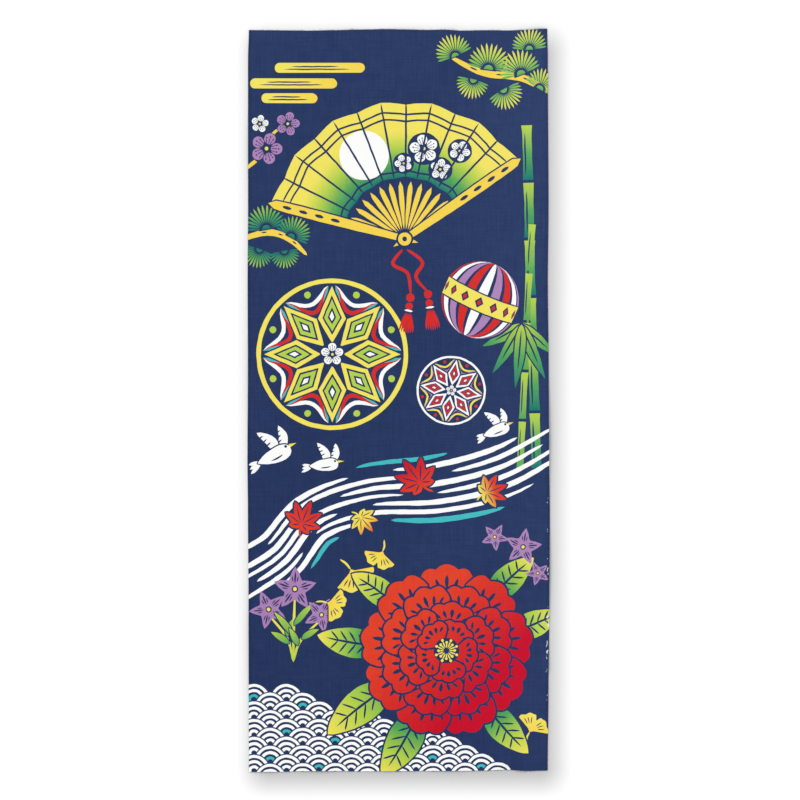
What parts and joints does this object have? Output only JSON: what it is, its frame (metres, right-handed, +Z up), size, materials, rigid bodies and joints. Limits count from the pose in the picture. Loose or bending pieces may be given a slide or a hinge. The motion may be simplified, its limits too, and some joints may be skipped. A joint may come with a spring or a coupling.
{
  "type": "tenugui towel",
  "caption": "Flat cotton hand towel: one cut length of thin dyed cloth with woven selvedges and unhemmed cut ends, lying face up.",
  "frame": {"origin": "on the surface that the cloth lies on, under the middle of its box", "axes": "+X across the cloth towards its right selvedge as the design is read, +Y up its length towards the upper cut end, +Z up through its thickness"},
  "size_m": [0.3672, 0.9028, 0.004],
  "materials": {
    "dyed_cotton": "matt plain-woven cotton, dyed through"
  },
  "bodies": {
    "root": {"towel_cloth": "dyed_cotton"}
  },
  "joints": []
}
